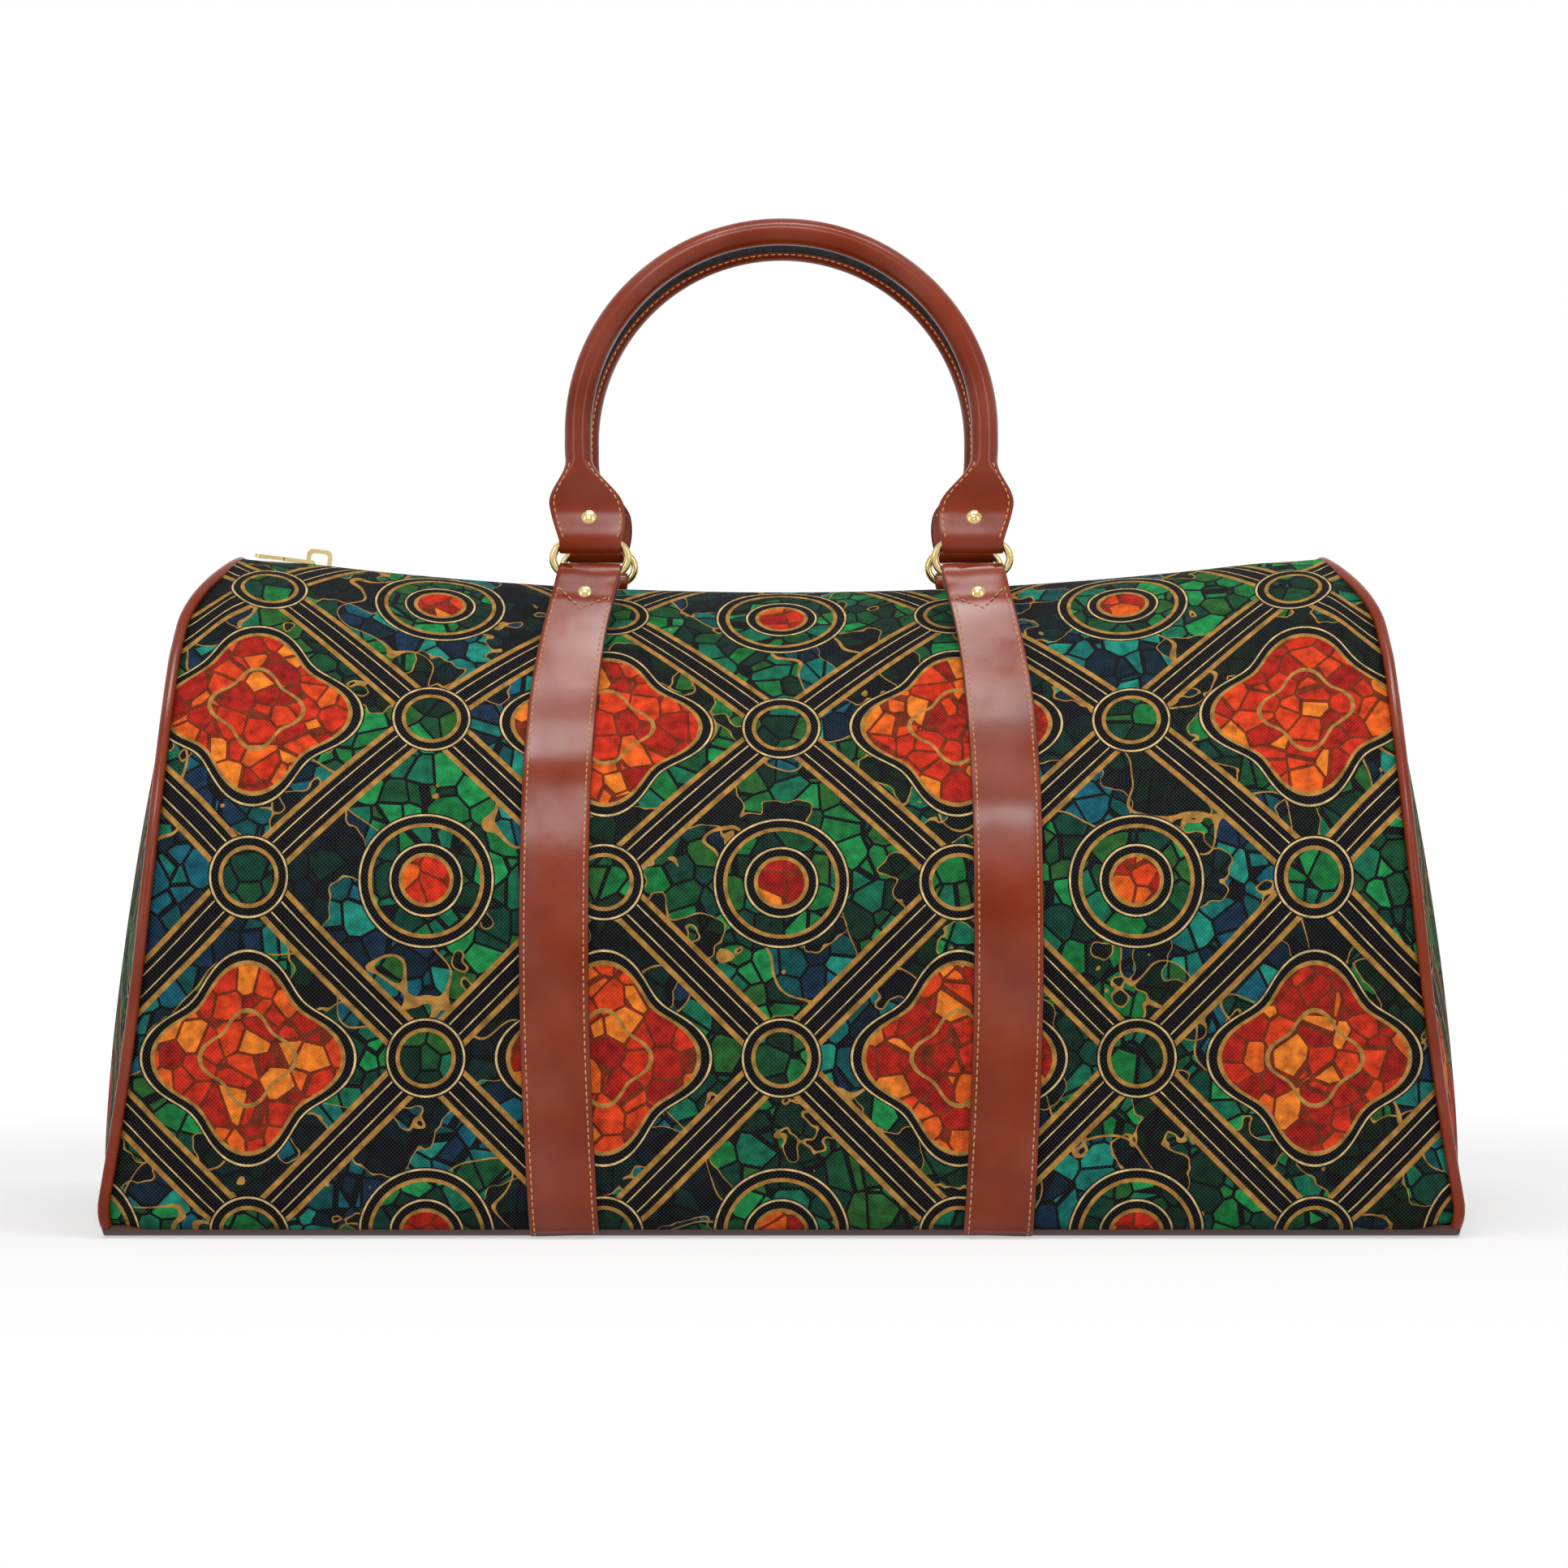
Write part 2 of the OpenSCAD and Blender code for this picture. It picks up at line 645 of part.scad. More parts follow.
front_panel();
back_panel();
end_panel_left();
end_panel_right();
piping_left();
piping_right();
bottom_panel();
base_board();
zip_tape_front();
zip_tape_back();
zip_teeth_front();
zip_teeth_back();
zip_stops();
zip_slider();
zip_pull();
strap_front_left();
strap_front_right();
strap_back_left();
strap_back_right();
strap_rivets_front();
strap_rivets_back();
ring_front_left();
ring_front_right();
ring_back_left();
ring_back_right();
handle_front();
handle_back();
handle_core_front();
handle_core_back();
handle_rivets_front();
handle_rivets_back();
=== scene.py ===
import bpy
import math
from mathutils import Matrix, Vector, noise


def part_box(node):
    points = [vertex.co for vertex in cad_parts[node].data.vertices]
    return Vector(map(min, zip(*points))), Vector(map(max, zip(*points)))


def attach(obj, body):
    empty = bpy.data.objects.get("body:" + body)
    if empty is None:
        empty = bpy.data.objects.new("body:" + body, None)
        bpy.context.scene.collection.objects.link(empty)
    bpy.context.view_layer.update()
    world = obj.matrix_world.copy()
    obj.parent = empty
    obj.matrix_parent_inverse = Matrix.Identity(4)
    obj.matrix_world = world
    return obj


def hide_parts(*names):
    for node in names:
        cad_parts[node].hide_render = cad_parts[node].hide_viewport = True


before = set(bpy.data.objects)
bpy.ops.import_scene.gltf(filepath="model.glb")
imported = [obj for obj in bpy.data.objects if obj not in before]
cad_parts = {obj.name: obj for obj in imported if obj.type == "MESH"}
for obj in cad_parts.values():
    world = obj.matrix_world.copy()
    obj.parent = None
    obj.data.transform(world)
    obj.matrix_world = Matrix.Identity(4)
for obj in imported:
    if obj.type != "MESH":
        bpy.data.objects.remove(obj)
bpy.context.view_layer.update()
bpy.ops.object.select_all(action="DESELECT")

# The front and back panels are each one sheet of printed oxford canvas with a lining.
# They are sewn to the bottom, to the piping at both ends and to the zip along the top,
# and hang a little between the seams.
canvas_low, canvas_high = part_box("front_panel")
pipe_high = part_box("piping_right")[1]
half_depth = -canvas_low[1]
ridge_high = pipe_high[2]
zip_sag = 0.015
foot_r = 0.015
shoulder_z = 0.110
fullness = 1.7
end_lean = 0.029
corner_drop = 0.014
corner_h = 0.028
seam_hollow = 0.0050
hollow_top = 0.220
hollow_low = 0.020
foot_draw = 0.0030
pipe_r = 0.00225
half_length = pipe_high[0] - pipe_r
ridge_half = half_length - end_lean - corner_drop
sag_r = (ridge_half ** 2 + zip_sag ** 2) / (2 * zip_sag)
window_half = -canvas_high[1]
bottom_seam_z = 0.003
seam_turn = math.acos(1 - bottom_seam_z / foot_r) / (math.pi / 2)
canvas_t = 0.0016
fine_steps = 400
measured_x = 0.1


def ridge_z(x):
    return ridge_high - zip_sag + sag_r - math.sqrt(sag_r ** 2 - min(abs(x), ridge_half) ** 2)


def seam_x(z):
    drawn_in = max(0, z - ridge_high + corner_h) / corner_h
    hollowed = seam_hollow * math.sin(math.pi * (min(z, hollow_top) + hollow_low) / (hollow_top + hollow_low))
    rounded = foot_draw * (max(0, foot_r - z) / foot_r) ** 2
    return half_length - end_lean * z / ridge_high - corner_drop * drawn_in ** 2 - hollowed - rounded


def section(s, x, depth):
    """Half of the bag's section. Along it, s runs to 1 round the bottom edge, to 2 up the wall
    and to 3 at the ridge."""
    if s < 1:
        turn = s * math.pi / 2
        return (half_depth - foot_r + (foot_r - depth) * math.sin(turn),
                foot_r - (foot_r - depth) * math.cos(turn))
    if s < 2:
        return half_depth - depth, foot_r + (s - 1) * (shoulder_z - foot_r)
    turn = (s - 2) * math.pi / 2
    return ((half_depth - depth) * max(0, math.cos(turn)) ** (2 / fullness),
            shoulder_z + (ridge_z(x) - shoulder_z - depth) * math.sin(turn) ** (2 / fullness))


def places(first, last, count):
    """Places along the section at even steps of cloth, with each one's distance along it."""
    fine = [first + (last - first) * i / fine_steps for i in range(fine_steps + 1)]
    run = [0]
    for a, b in zip(fine, fine[1:]):
        run.append(run[-1] + math.dist(section(a, measured_x, 0), section(b, measured_x, 0)))
    picked = []
    for i in range(count + 1):
        goal = run[-1] * i / count
        k = min(range(fine_steps + 1), key=lambda n: abs(run[n] - goal))
        picked.append((fine[k], run[k]))
    return picked


def smooth(f):
    f = min(1, max(0, f))
    return f * f * (3 - 2 * f)


def grid_mesh(name, rows, uvs):
    """A sheet of quads through rows of points, with a cloth map in metres."""
    cols = len(rows[0])
    mesh = bpy.data.meshes.new(name)
    faces = [(i * cols + j, i * cols + j + 1, (i + 1) * cols + j + 1, (i + 1) * cols + j)
             for i in range(len(rows) - 1) for j in range(cols - 1)]
    mesh.from_pydata([p for row in rows for p in row], [], faces)
    flat = [uv for row in uvs for uv in row]
    cloth = mesh.uv_layers.new(name="cloth")
    for loop in mesh.loops:
        cloth.data[loop.index].uv = flat[loop.vertex_index]
    piece = bpy.data.objects.new(name, mesh)
    bpy.context.scene.collection.objects.link(piece)
    return piece


def apply_modifiers(piece):
    bpy.ops.object.select_all(action="DESELECT")
    bpy.context.view_layer.objects.active = piece
    piece.select_set(True)
    for modifier in list(piece.modifiers):
        bpy.ops.object.modifier_apply(modifier=modifier.name)
    bpy.ops.object.shade_smooth()
    piece.select_set(False)


def thicken(piece, thickness, offset=-1):
    wall = piece.modifiers.new("wall", "SOLIDIFY")
    wall.thickness = thickness
    wall.offset = offset
    apply_modifiers(piece)


broad_fold, broad_rise, broad_share = 7, 9, 0.42
fine_fold, fine_rise, fine_share = 19, 23, 0.16
broad_shift, fine_shift = 3, 5


def ripple(x, y, z):
    """Soft hollows of slack cloth, from about 0 to 1."""
    broad = noise.noise(Vector((x * broad_fold, y * broad_fold + broad_shift, z * broad_rise)))
    fine = noise.noise(Vector((x * fine_fold + fine_shift, y * fine_fold, z * fine_rise)))
    return 0.5 + broad_share * broad + fine_share * fine


zip_turn = 2 + math.acos((window_half / half_depth) ** (fullness / 2)) / (math.pi / 2)
panel_steps = 72
panel_cols = 150
panel_rows = places(seam_turn, zip_turn, panel_steps)
panel_run = panel_rows[-1][1]
slack = 0.0038
mean_slack = 0.42
seam_pull = 0.0026
pull_width = 0.016
zip_lip = 0.0015
lip_width = 0.028
seam_fade = 0.05
foot_fade = 0.06
lip_fade = 0.03
panels_apart = 0.3


def canvas_panel(name, side):
    rows, uvs = [], []
    for s, along in panel_rows:
        height = section(s, ridge_half, 0)[1]
        half = seam_x(height) - pipe_r
        row, marks = [], []
        for j in range(panel_cols + 1):
            x = half * (2 * j / panel_cols - 1)
            y, z = section(s, x, 0)
            to_seam = half - abs(x)
            to_zip = panel_run - along
            free = smooth(to_seam / seam_fade) * smooth(along / foot_fade) * smooth(to_zip / seam_fade)
            depth = slack * (ripple(x, side * panels_apart, z) - mean_slack) * free
            depth += seam_pull * (1 - smooth(to_seam / pull_width)) * smooth(to_zip / lip_width)
            depth -= zip_lip * (1 - smooth(to_zip / lip_width)) * smooth(to_seam / lip_fade)
            y, z = section(s, x, depth)
            row.append((x, side * y, z))
            marks.append((-side * x, along))
        rows.append(row if side < 0 else row[::-1])
        uvs.append(marks if side < 0 else marks[::-1])
    piece = grid_mesh(name, rows, uvs)
    thicken(piece, canvas_t)
    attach(piece, "bag")
    return piece


front_canvas = canvas_panel("front_canvas", -1)
back_canvas = canvas_panel("back_canvas", 1)
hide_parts("front_panel")
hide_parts("back_panel")


def new_finish(name, roughness, metallic=0.0):
    finish = bpy.data.materials.new(name)
    finish.use_nodes = True
    shader = finish.node_tree.nodes["Principled BSDF"]
    shader.inputs["Roughness"].default_value = roughness
    shader.inputs["Metallic"].default_value = metallic
    return finish, shader


def feed(finish, socket, value):
    """Sets an input to a number or colour, or links it to another node's output."""
    if isinstance(value, bpy.types.NodeSocket):
        finish.node_tree.links.new(value, socket)
    else:
        socket.default_value = value


def calc(finish, operation, *values):
    node = finish.node_tree.nodes.new("ShaderNodeMath")
    node.operation = operation
    for socket, value in zip(node.inputs, values):
        feed(finish, socket, value)
    return node.outputs[0]


def blend_colour(finish, factor, first, second, kind="MIX"):
    node = finish.node_tree.nodes.new("ShaderNodeMix")
    node.data_type = "RGBA"
    node.blend_type = kind
    feed(finish, node.inputs["Factor"], factor)
    feed(finish, node.inputs["A"], first)
    feed(finish, node.inputs["B"], second)
    return node.outputs["Result"]


def ramp(finish, value, stops, hard=False):
    node = finish.node_tree.nodes.new("ShaderNodeValToRGB")
    node.color_ramp.interpolation = "CONSTANT" if hard else "LINEAR"
    for i, (place, colour) in enumerate(stops):
        stop = node.color_ramp.elements[i] if i < 2 else node.color_ramp.elements.new(place)
        stop.position = place
        stop.color = (*colour, 1)
    feed(finish, node.inputs["Fac"], value)
    return node.outputs["Color"]


def speckle(finish, vector, scale, detail=4.0):
    node = finish.node_tree.nodes.new("ShaderNodeTexNoise")
    node.inputs["Scale"].default_value = scale
    node.inputs["Detail"].default_value = detail
    feed(finish, node.inputs["Vector"], vector)
    return node.outputs["Fac"]


def tiles(finish, vector, size, feature="F1"):
    node = finish.node_tree.nodes.new("ShaderNodeTexVoronoi")
    node.feature = feature
    node.inputs["Scale"].default_value = 1 / size
    feed(finish, node.inputs["Vector"], vector)
    return node.outputs["Distance" if feature == "DISTANCE_TO_EDGE" else "Color"]


def raise_surface(finish, shader, height, strength, distance):
    node = finish.node_tree.nodes.new("ShaderNodeBump")
    node.inputs["Strength"].default_value = strength
    node.inputs["Distance"].default_value = distance
    feed(finish, node.inputs["Height"], height)
    finish.node_tree.links.new(node.outputs["Normal"], shader.inputs["Normal"])


# The print is a plain diagonal trellis of black ribbons edged in gold, with a roundel in each space
# and broken-tile mosaic round it. The canvas is a coarse plain weave.
cell = 0.094
ribbon_half = 0.0062
gold_edge = 0.0010
lobed_r = 0.031
lobe = 0.15
cool_disc_r = 0.021
core_disc_r = 0.0095
boss_r = 0.0105
rim = 0.0015
tile_size = 0.0102
lead_width = 0.05
thread_pitch = 0.0015
teal_from = 0.51
dark_from = 0.53
dark_share = 0.93
inner_line = 0.42
black_margin = 3.2 * rim
outer_line = 2.6 * rim
knot_highlight_share = 0.045
patch_line = 0.007
region_line = 0.005
gold_ink = (0.37, 0.185, 0.040, 1)
pale_gold_ink = (0.60, 0.42, 0.18, 1)
black_ink = (0.0035, 0.0035, 0.0045, 1)
rust_ink = (0.16, 0.022, 0.006, 1)
green_tiles = [(0.0, (0.004, 0.022, 0.012)), (0.15, (0.006, 0.060, 0.020)), (0.32, (0.008, 0.14, 0.032)),
               (0.50, (0.004, 0.040, 0.024)), (0.64, (0.010, 0.22, 0.055)), (0.76, (0.018, 0.095, 0.018)),
               (0.88, (0.006, 0.12, 0.060))]
teal_tiles = [(0.0, (0.004, 0.060, 0.062)), (0.20, (0.006, 0.125, 0.105)), (0.38, (0.006, 0.022, 0.050)),
              (0.52, (0.005, 0.085, 0.12)), (0.68, (0.010, 0.21, 0.15)), (0.84, (0.004, 0.014, 0.026))]
red_tiles = [(0.0, (0.36, 0.013, 0.006)), (0.18, (0.52, 0.024, 0.007)), (0.40, (0.62, 0.045, 0.008)),
             (0.58, (0.68, 0.100, 0.010)), (0.72, (0.28, 0.009, 0.006)), (0.86, (0.72, 0.18, 0.016))]
canvas, canvas_shader = new_finish("printed canvas", 0.68)
cloth_map = canvas.node_tree.nodes.new("ShaderNodeUVMap")
cloth_map.uv_map = "cloth"
cloth_at = cloth_map.outputs["UV"]
split = canvas.node_tree.nodes.new("ShaderNodeSeparateXYZ")
canvas.node_tree.links.new(cloth_at, split.inputs[0])
along, up = split.outputs[0], split.outputs[1]
slants = [calc(canvas, "MULTIPLY", calc(canvas, kind, along, up), math.sqrt(0.5))
          for kind in ("ADD", "SUBTRACT")]
cell_at = [calc(canvas, "WRAP", slant, cell / 2, -cell / 2) for slant in slants]
counts = [calc(canvas, "FLOOR", calc(canvas, "DIVIDE", calc(canvas, "ADD", slant, cell / 2), cell))
          for slant in slants]
odd_cell = calc(canvas, "PINGPONG", calc(canvas, "ADD", *counts), 1.0)


def length(x, y):
    squares = [calc(canvas, "MULTIPLY", part, part) for part in (x, y)]
    return calc(canvas, "SQRT", calc(canvas, "ADD", *squares))


def inside(value, limit):
    return calc(canvas, "LESS_THAN", value, limit)


def both(first, second):
    return calc(canvas, "MULTIPLY", first, second)


def line_at(print_colour, where, distance, r, width, ink):
    off = calc(canvas, "ABSOLUTE", calc(canvas, "SUBTRACT", distance, r))
    return blend_colour(canvas, both(where, inside(off, width / 2)), print_colour, ink)


to_ribbon = [calc(canvas, "SUBTRACT", cell / 2, calc(canvas, "ABSOLUTE", part)) for part in cell_at]
ribbon_at = calc(canvas, "MINIMUM", *to_ribbon)
boss_at = length(*to_ribbon)
disc_at = length(*cell_at)
slant_share = calc(canvas, "DIVIDE", both(*cell_at), calc(canvas, "MAXIMUM", both(disc_at, disc_at), 1e-9))
four_turns = calc(canvas, "SUBTRACT", 1.0, calc(canvas, "MULTIPLY", both(slant_share, slant_share), 8.0))
lobed_by = calc(canvas, "SUBTRACT", 1.0, calc(canvas, "MULTIPLY", four_turns, lobe))
lobed_at = calc(canvas, "DIVIDE", disc_at, lobed_by)
even_cell = calc(canvas, "SUBTRACT", 1.0, odd_cell)
lead_line = inside(tiles(canvas, cloth_at, tile_size, "DISTANCE_TO_EDGE"), lead_width)
tile_pick = calc(canvas, "FRACT", calc(canvas, "MULTIPLY", tiles(canvas, cloth_at, tile_size), 7.0))
region = speckle(canvas, cloth_at, 13.0, 2.0)
hollow = speckle(canvas, cloth_at, 24.0, 3.0)
teal_region = calc(canvas, "GREATER_THAN", region, teal_from)
ground = blend_colour(canvas, teal_region, ramp(canvas, tile_pick, green_tiles, True),
                      ramp(canvas, tile_pick, teal_tiles, True))
cool = blend_colour(canvas, lead_line, ramp(canvas, tile_pick, green_tiles, True), black_ink)
warm = blend_colour(canvas, lead_line, ramp(canvas, tile_pick, red_tiles, True), rust_ink)
ground = blend_colour(canvas, lead_line, ground, black_ink)
dark_patch = calc(canvas, "GREATER_THAN", hollow, dark_from)
ground = blend_colour(canvas, calc(canvas, "MULTIPLY", dark_patch, dark_share), ground, black_ink)
everywhere = 1.0
ground = line_at(ground, everywhere, hollow, dark_from, patch_line, gold_ink)
ground = line_at(ground, everywhere, region, teal_from, region_line, gold_ink)
print_colour = blend_colour(canvas, inside(ribbon_at, ribbon_half), ground, black_ink)
print_colour = line_at(print_colour, everywhere, ribbon_at, ribbon_half, 2 * gold_edge, gold_ink)
print_colour = line_at(print_colour, everywhere, ribbon_at, ribbon_half * inner_line, 0.5 * gold_edge,
                       pale_gold_ink)
for where, at, r, fill in ((odd_cell, lobed_at, lobed_r, warm), (even_cell, disc_at, cool_disc_r, cool),
                           (even_cell, disc_at, core_disc_r, warm), (everywhere, boss_at, boss_r, cool)):
    print_colour = blend_colour(canvas, both(where, inside(at, r + black_margin)), print_colour, black_ink)
    print_colour = blend_colour(canvas, both(where, inside(at, r)), print_colour, fill)
    print_colour = line_at(print_colour, where, at, r, rim, gold_ink)
    print_colour = line_at(print_colour, where, at, r + outer_line, 0.5 * rim, pale_gold_ink)
print_colour = line_at(print_colour, odd_cell, lobed_at, lobed_r * 0.5, rim, gold_ink)
shade = speckle(canvas, cloth_at, 230.0)
brush = ramp(canvas, shade, [(0.30, (0.50, 0.50, 0.50)), (0.68, (1.25, 1.25, 1.25))])
print_colour = blend_colour(canvas, 1.0, print_colour, brush, "MULTIPLY")
threads = [calc(canvas, "SINE", calc(canvas, "MULTIPLY", axis, 2 * math.pi / thread_pitch))
           for axis in (along, up)]
weave = both(*threads)
# The tops of the weave's crossings are mixed towards pale grey: a painted highlight on the raised threads.
knot_highlights = calc(canvas, "MULTIPLY", calc(canvas, "GREATER_THAN", weave, 0.5), knot_highlight_share)
print_colour = blend_colour(canvas, knot_highlights, print_colour, (0.70, 0.70, 0.68, 1))
canvas.node_tree.links.new(print_colour, canvas_shader.inputs["Base Color"])
canvas_shader.inputs["Specular IOR Level"].default_value = 0.04
raise_surface(canvas, canvas_shader, weave, 0.35, 0.0003)
for piece in (front_canvas, back_canvas):
    piece.data.materials.append(canvas)

# The end panels are D-shaped pieces of the same canvas, with a rounded bulge,
# each sewn all round to a ring of piping.
end_inset = 0.0035
end_bulge = 0.0195
bulge_power = 0.64
end_slack = 0.0018
end_fade = 0.04
foot_share = 4
end_set_in = 0.0006
ends_apart = 0.5
print_shift = (0.03, 0.02)
end_cols = 56
end_steps = 90
end_top_turn = 2.985
end_rows = places(0, end_top_turn, end_steps)


def end_panel(name, side):
    rows, uvs = [], []
    for s, run in end_rows:
        height = section(s, ridge_half, 0)[1]
        half, z = section(s, seam_x(height), end_inset)
        row, marks = [], []
        for j in range(end_cols + 1):
            v = 2 * j / end_cols - 1
            rise = z / ridge_high
            share = rise ** bulge_power
            out = end_bulge * (1 - v * v) * 4 * share * (1 - share)
            free = smooth((1 - abs(v)) * half / end_fade) * smooth(rise * foot_share)
            slack_in = end_slack * ripple(side * ends_apart, v * half, z) * free
            row.append((side * (seam_x(height) + out - slack_in - end_set_in), v * half, z))
            marks.append((side * v * half + print_shift[0], z + print_shift[1]))
        rows.append(row if side > 0 else row[::-1])
        uvs.append(marks if side > 0 else marks[::-1])
    piece = grid_mesh(name, rows, uvs)
    thicken(piece, canvas_t)
    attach(piece, "bag")
    piece.data.materials.append(canvas)
    return piece


left_end = end_panel("left_end_canvas", -1)
right_end = end_panel("right_end_canvas", 1)
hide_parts("end_panel_left")
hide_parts("end_panel_right")

# The piping is a cord wrapped in brown leather-look sheet, sewn into the seam round each end panel.
# All the brown trim is the same coated sheet: a fine grain under a half-gloss skin.
tan_colours = [(0.28, (0.150, 0.017, 0.0035)), (0.52, (0.195, 0.024, 0.0050)), (0.75, (0.230, 0.033, 0.0080))]
grain_size = 0.0011


def mottle(finish, shader, scale, detail, stops):
    """Gives a finish a cloudy colour, and returns the place on the piece that it is read at."""
    at = finish.node_tree.nodes.new("ShaderNodeTexCoord").outputs["Object"]
    feed(finish, shader.inputs["Base Color"], ramp(finish, speckle(finish, at, scale, detail), stops))
    return at


tan, tan_shader = new_finish("brown leather-look sheet", 0.36)
tan_at = mottle(tan, tan_shader, 34.0, 6.0, tan_colours)
tan_grain = calc(tan, "MINIMUM", tiles(tan, tan_at, grain_size, "DISTANCE_TO_EDGE"), 0.12)
tan_creases = speckle(tan, tan_at, 420.0, 5.0)
tan_gloss = ramp(tan, tan_creases, [(0.3, (0.15, 0.15, 0.15)), (0.7, (0.28, 0.28, 0.28))])
tan.node_tree.links.new(tan_gloss, tan_shader.inputs["Roughness"])
tan_rubbed = speckle(tan, tan_at, 26.0, 5.0)
tan_sheen = ramp(tan, tan_rubbed, [(0.36, (0.15, 0.15, 0.15)), (0.68, (0.75, 0.75, 0.75))])
tan.node_tree.links.new(tan_sheen, tan_shader.inputs["Coat Weight"])
tan_shader.inputs["Specular IOR Level"].default_value = 0.05
tan_shader.inputs["Coat Roughness"].default_value = 0.22
raise_surface(tan, tan_shader, calc(tan, "ADD", tan_grain, tan_creases), 0.16, 0.0004)


def face_outwards(piece):
    """Turns all faces of a closed piece outwards and shades it smooth."""
    bpy.ops.object.select_all(action="DESELECT")
    bpy.context.view_layer.objects.active = piece
    piece.select_set(True)
    bpy.ops.object.mode_set(mode="EDIT")
    bpy.ops.mesh.select_all(action="SELECT")
    bpy.ops.mesh.normals_make_consistent(inside=False)
    bpy.ops.object.mode_set(mode="OBJECT")
    bpy.ops.object.shade_smooth()
    piece.select_set(False)


def sweep(name, stations, closed=False, sides=20):
    """A closed strip or roll through stations of (middle, width direction, thickness direction,
    half width, half thickness, squareness), where a squareness of 2 is round and more is flatter."""
    rings = []
    for middle, wide, thick, half_w, half_t, square in stations:
        ring = []
        for k in range(sides):
            turn = 2 * math.pi * (k + 0.5) / sides
            c, d = math.cos(turn), math.sin(turn)
            c = math.copysign(abs(c) ** (2 / square), c)
            d = math.copysign(abs(d) ** (2 / square), d)
            ring.append(Vector(middle) + half_w * c * Vector(wide) + half_t * d * Vector(thick))
        rings.append(ring)
    count = len(rings)
    faces = [(i * sides + k, i * sides + (k + 1) % sides, (i + 1) % count * sides + (k + 1) % sides,
              (i + 1) % count * sides + k)
             for i in range(count if closed else count - 1) for k in range(sides)]
    if not closed:
        faces += [tuple(range(sides))[::-1], tuple((count - 1) * sides + k for k in range(sides))]
    mesh = bpy.data.meshes.new(name)
    mesh.from_pydata([p for ring in rings for p in ring], [], faces)
    piece = bpy.data.objects.new(name, mesh)
    bpy.context.scene.collection.objects.link(piece)
    face_outwards(piece)
    return piece


pipe_steps = 90
pipe_floor_steps = 12
pipe_sides = 14


def piping_line(side):
    half_loop = []
    for s, run in places(0, 3, pipe_steps):
        x = seam_x(section(s, ridge_half, 0)[1])
        y, z = section(s, x, pipe_r)
        half_loop.append(Vector((side * x, -y, z)))
    mirrored = [Vector((p.x, -p.y, p.z)) for p in half_loop[-2::-1]]
    floor_run = [mirrored[-1].lerp(half_loop[0], i / pipe_floor_steps) for i in range(1, pipe_floor_steps)]
    return half_loop + mirrored + floor_run


for end, side in (("left", -1), ("right", 1)):
    line = piping_line(side)
    stations = []
    for i, middle in enumerate(line):
        way = (line[(i + 1) % len(line)] - line[i - 1]).normalized()
        wide = (Vector((1, 0, 0)) - way.x * way).normalized()
        stations.append((middle, wide, way.cross(wide), pipe_r, pipe_r, 2))
    piping = sweep(f"piping_cord_{end}", stations, closed=True, sides=pipe_sides)
    piping.data.materials.append(tan)
    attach(piping, "bag")
    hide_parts(f"piping_{end}")

# The bottom is one dark brown leather-look sheet, turned up to the front and back seams,
# and a loose hardboard lies on it inside the bag.
dark, dark_shader = new_finish("dark brown bottom sheet", 0.5)
dark_at = mottle(dark, dark_shader, 60.0, 5.0, [(0.3, (0.055, 0.016, 0.009)), (0.7, (0.105, 0.030, 0.016))])
raise_surface(dark, dark_shader, tiles(dark, dark_at, 0.0014, "DISTANCE_TO_EDGE"), 0.25, 0.0004)
board, board_shader = new_finish("hardboard", 0.8)
mottle(board, board_shader, 240.0, 6.0, [(0.3, (0.20, 0.12, 0.065)), (0.7, (0.33, 0.21, 0.12))])


def dress(finish, *nodes):
    """Gives CAD pieces that keep their own shape a finish."""
    for name in nodes:
        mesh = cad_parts[name].data
        mesh.materials.clear()
        mesh.materials.append(finish)


dress(dark, "bottom_panel")
dress(board, "base_board")

# Four straps of doubled leather-look sheet run from the bottom seams over the panels. Each is sewn down
# as far as the shoulder, runs free to its ring, folds round the lower bar and is riveted behind.
ring_low, ring_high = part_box("ring_front_right")
wire_r = (ring_high[1] - ring_low[1]) / 2
ring_x = (ring_low[0] + ring_high[0]) / 2
ring_y = -(ring_low[1] + ring_high[1]) / 2
ring_z = ring_low[2] + wire_r
strap_half = 0.013
strap_end_half = 0.012
strap_t = 0.0024
strap_lay = 0.0004
strap_foot_x = 0.081
strap_mid_x = 0.085
strap_bend = 4
strap_loop_r = 0.0031
lift_drop = 0.0615
lift_z = ring_z - lift_drop
fold_l = 0.026
fold_narrow = 0.0004
loop_run = 0.014
flat_edge = 7
wave_rise = 0.0003
wave_low = 0.105
wave_high = 0.238
wave_fade = 0.025
wave_pitches = ((0.046, 1), (0.029, 1.7))
sewn_steps = 60
free_steps = 30
loop_steps = 12
strap_sides = 28
lift_share = (lift_z - shoulder_z) / (ridge_z(strap_mid_x) - shoulder_z)
lift_s = 2 + math.asin(lift_share ** (fullness / 2)) / (math.pi / 2)


def strap_x(z):
    if z < shoulder_z:
        return strap_foot_x + (strap_mid_x - strap_foot_x) * math.sin(math.pi / 2 * max(0, z) / shoulder_z)
    return strap_mid_x + (ring_x - strap_mid_x) * ((z - shoulder_z) / (ring_z - shoulder_z)) ** strap_bend


def strap_wave(z, shift):
    """The long soft waves that use leaves in a strap, different in each one."""
    held = smooth((z - wave_low) / wave_fade) * smooth((wave_high - z) / wave_fade)
    long, short = (math.sin(2 * math.pi * z / pitch + shift * turn) for pitch, turn in wave_pitches)
    return wave_rise * held * (long + 0.5 * short)


